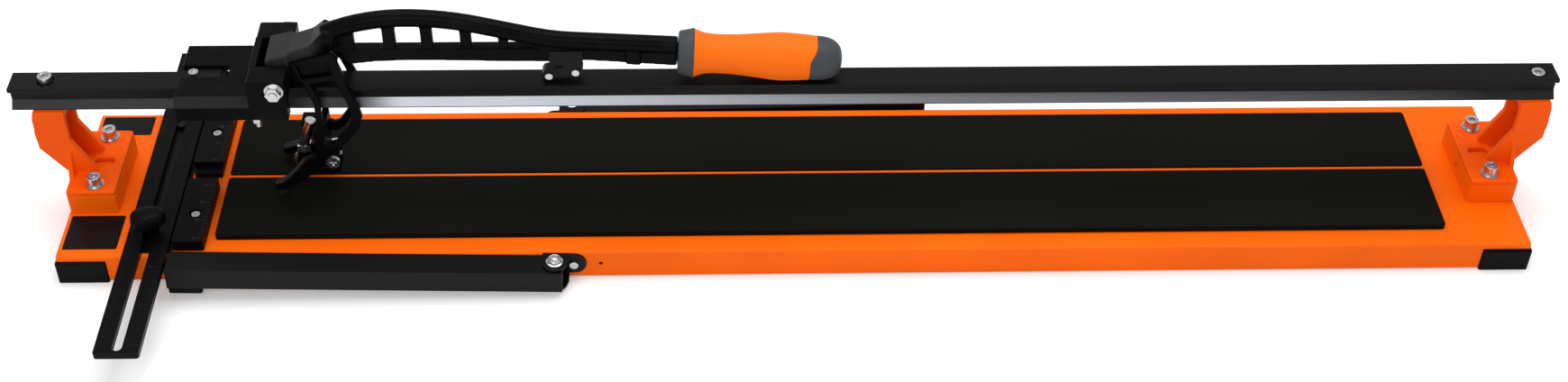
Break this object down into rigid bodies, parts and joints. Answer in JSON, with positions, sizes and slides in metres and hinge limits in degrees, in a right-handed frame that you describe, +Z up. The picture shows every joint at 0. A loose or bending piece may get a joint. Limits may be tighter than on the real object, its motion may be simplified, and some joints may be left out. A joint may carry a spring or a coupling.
{
  "type": "rail tile cutter",
  "caption": "Long manual tile cutter: folded base with a padded bed, guide rail on end brackets, sliding carriage with lever, wheel and breaker foot, fence and swing-out arms.",
  "frame": {"origin": "centre of the machine's bounding box in X and Y, on the bench", "axes": "+X along the rail to the right end, +Y away from the user towards the rear, +Z up"},
  "size_m": [1.4544, 0.437, 0.2342],
  "materials": {
    "orange_coat": "powder coat, satin",
    "orange_casting": "powder-coated casting",
    "black_coat": "powder coat, satin",
    "black_casting": "coated casting, satin",
    "black_anodised": "black anodised",
    "black_plastic": "matte",
    "pad_rubber": "matte",
    "tip_rubber": "matte",
    "zinc": "zinc plated",
    "bearing_steel": "ground",
    "chrome_plate": "bright",
    "carbide": "ground",
    "nylon": "matte",
    "orange_grip": "soft satin",
    "grey_grip": "soft satin"
  },
  "bodies": {
    "base": {"base_tray": "orange_coat", "breaking_bar": "orange_coat", "front_pad": "pad_rubber", "rear_pad": "pad_rubber", "corner_cap_1": "black_plastic", "corner_cap_2": "black_plastic", "corner_cap_3": "black_plastic", "corner_cap_4": "black_plastic", "left_block": "orange_coat", "right_block": "orange_coat", "left_bracket": "orange_casting", "right_bracket": "orange_casting", "bracket_bolts": "zinc", "bracket_washers": "zinc", "bracket_nuts": "zinc", "rail": "black_anodised", "rail_bolts": "zinc", "front_stop_plate": "black_plastic", "rear_stop_plate": "black_plastic", "stop_plate_screws": "zinc", "fence_stud": "zinc", "fence_guide_pin": "zinc", "front_arm_hinge": "black_coat", "rear_arm_hinge": "black_coat", "hinge_screws": "zinc", "arm_pivot_bolts": "zinc"},
    "fence": {"fence_bar": "black_coat"},
    "knob": {"fence_knob": "black_plastic"},
    "front_arm": {"front_arm": "black_coat", "front_arm_foot": "black_plastic"},
    "rear_arm": {"rear_arm": "black_coat", "rear_arm_foot": "black_plastic"},
    "carriage": {"carriage_body": "black_casting", "glide_block": "nylon", "glide_screw": "zinc", "clevis_bolts": "zinc", "pivot_bolt": "zinc", "pivot_nut": "zinc", "bearing_axles": "zinc"},
    "bearing_1": {"side_bearing_1": "bearing_steel"},
    "bearing_2": {"side_bearing_2": "bearing_steel"},
    "bearing_3": {"side_bearing_3": "bearing_steel"},
    "bearing_4": {"side_bearing_4": "bearing_steel"},
    "lever": {"handle_lever": "black_casting", "grip_collar": "grey_grip", "grip_sleeve": "orange_grip", "grip_end_cap": "grey_grip", "link_clip": "black_coat", "yoke_front": "black_casting", "yoke_rear": "black_casting", "yoke_cross": "black_casting", "wheel_holder": "chrome_plate", "wheel_axle": "zinc", "foot_pin": "zinc"},
    "link": {"rest_link": "black_coat", "link_rivets": "zinc"},
    "wheel": {"cutting_wheel": "carbide"},
    "foot": {"breaker_foot": "black_casting", "foot_tips": "tip_rubber", "foot_screws": "zinc"}
  },
  "joints": [
    {"name": "carriage_slide", "type": "slide", "parent": "base", "child": "carriage", "axis": [1, 0, 0], "range_m": [-0.055, 1.06]},
    {"name": "lever_hinge", "type": "hinge", "parent": "carriage", "child": "lever", "pos_m": [-0.473, 0.022, 0.178], "axis": [0, -1, 0], "range_deg": [0, 30]},
    {"name": "foot_rock", "type": "hinge", "parent": "lever", "child": "foot", "pos_m": [-0.455, 0.022, 0.065], "axis": [1, 0, 0], "range_deg": [-4, 4]},
    {"name": "wheel_spin", "type": "hinge", "parent": "lever", "child": "wheel", "pos_m": [-0.467, 0.022, 0.058], "axis": [0, 1, 0], "continuous": true},
    {"name": "link_fold", "type": "hinge", "parent": "lever", "child": "link", "pos_m": [-0.2013, 0.022, 0.168], "axis": [0, 1, 0], "range_deg": [0, 14]},
    {"name": "bearing_1_spin", "type": "hinge", "parent": "carriage", "child": "bearing_1", "pos_m": [-0.547, 0.0025, 0.1427], "axis": [0, 0, 1], "continuous": true},
    {"name": "bearing_2_spin", "type": "hinge", "parent": "carriage", "child": "bearing_2", "pos_m": [-0.486, 0.0025, 0.1427], "axis": [0, 0, 1], "continuous": true},
    {"name": "bearing_3_spin", "type": "hinge", "parent": "carriage", "child": "bearing_3", "pos_m": [-0.547, 0.0415, 0.1427], "axis": [0, 0, 1], "continuous": true},
    {"name": "bearing_4_spin", "type": "hinge", "parent": "carriage", "child": "bearing_4", "pos_m": [-0.486, 0.0415, 0.1427], "axis": [0, 0, 1], "continuous": true},
    {"name": "fence_slide", "type": "slide", "parent": "base", "child": "fence", "axis": [0, 1, 0], "range_m": [-0.105, 0.15]},
    {"name": "knob_turn", "type": "hinge", "parent": "base", "child": "knob", "pos_m": [-0.6033, -0.058, 0.045], "axis": [0, 0, 1], "continuous": true},
    {"name": "front_arm_swing", "type": "hinge", "parent": "base", "child": "front_arm", "pos_m": [-0.2235, -0.098, 0], "axis": [0.0262, 0, 0.9997], "range_deg": [0, 90]},
    {"name": "rear_arm_swing", "type": "hinge", "parent": "base", "child": "rear_arm", "pos_m": [-0.2165, 0.138, 0], "axis": [-0.0262, 0, 0.9997], "range_deg": [0, 90]}
  ]
}
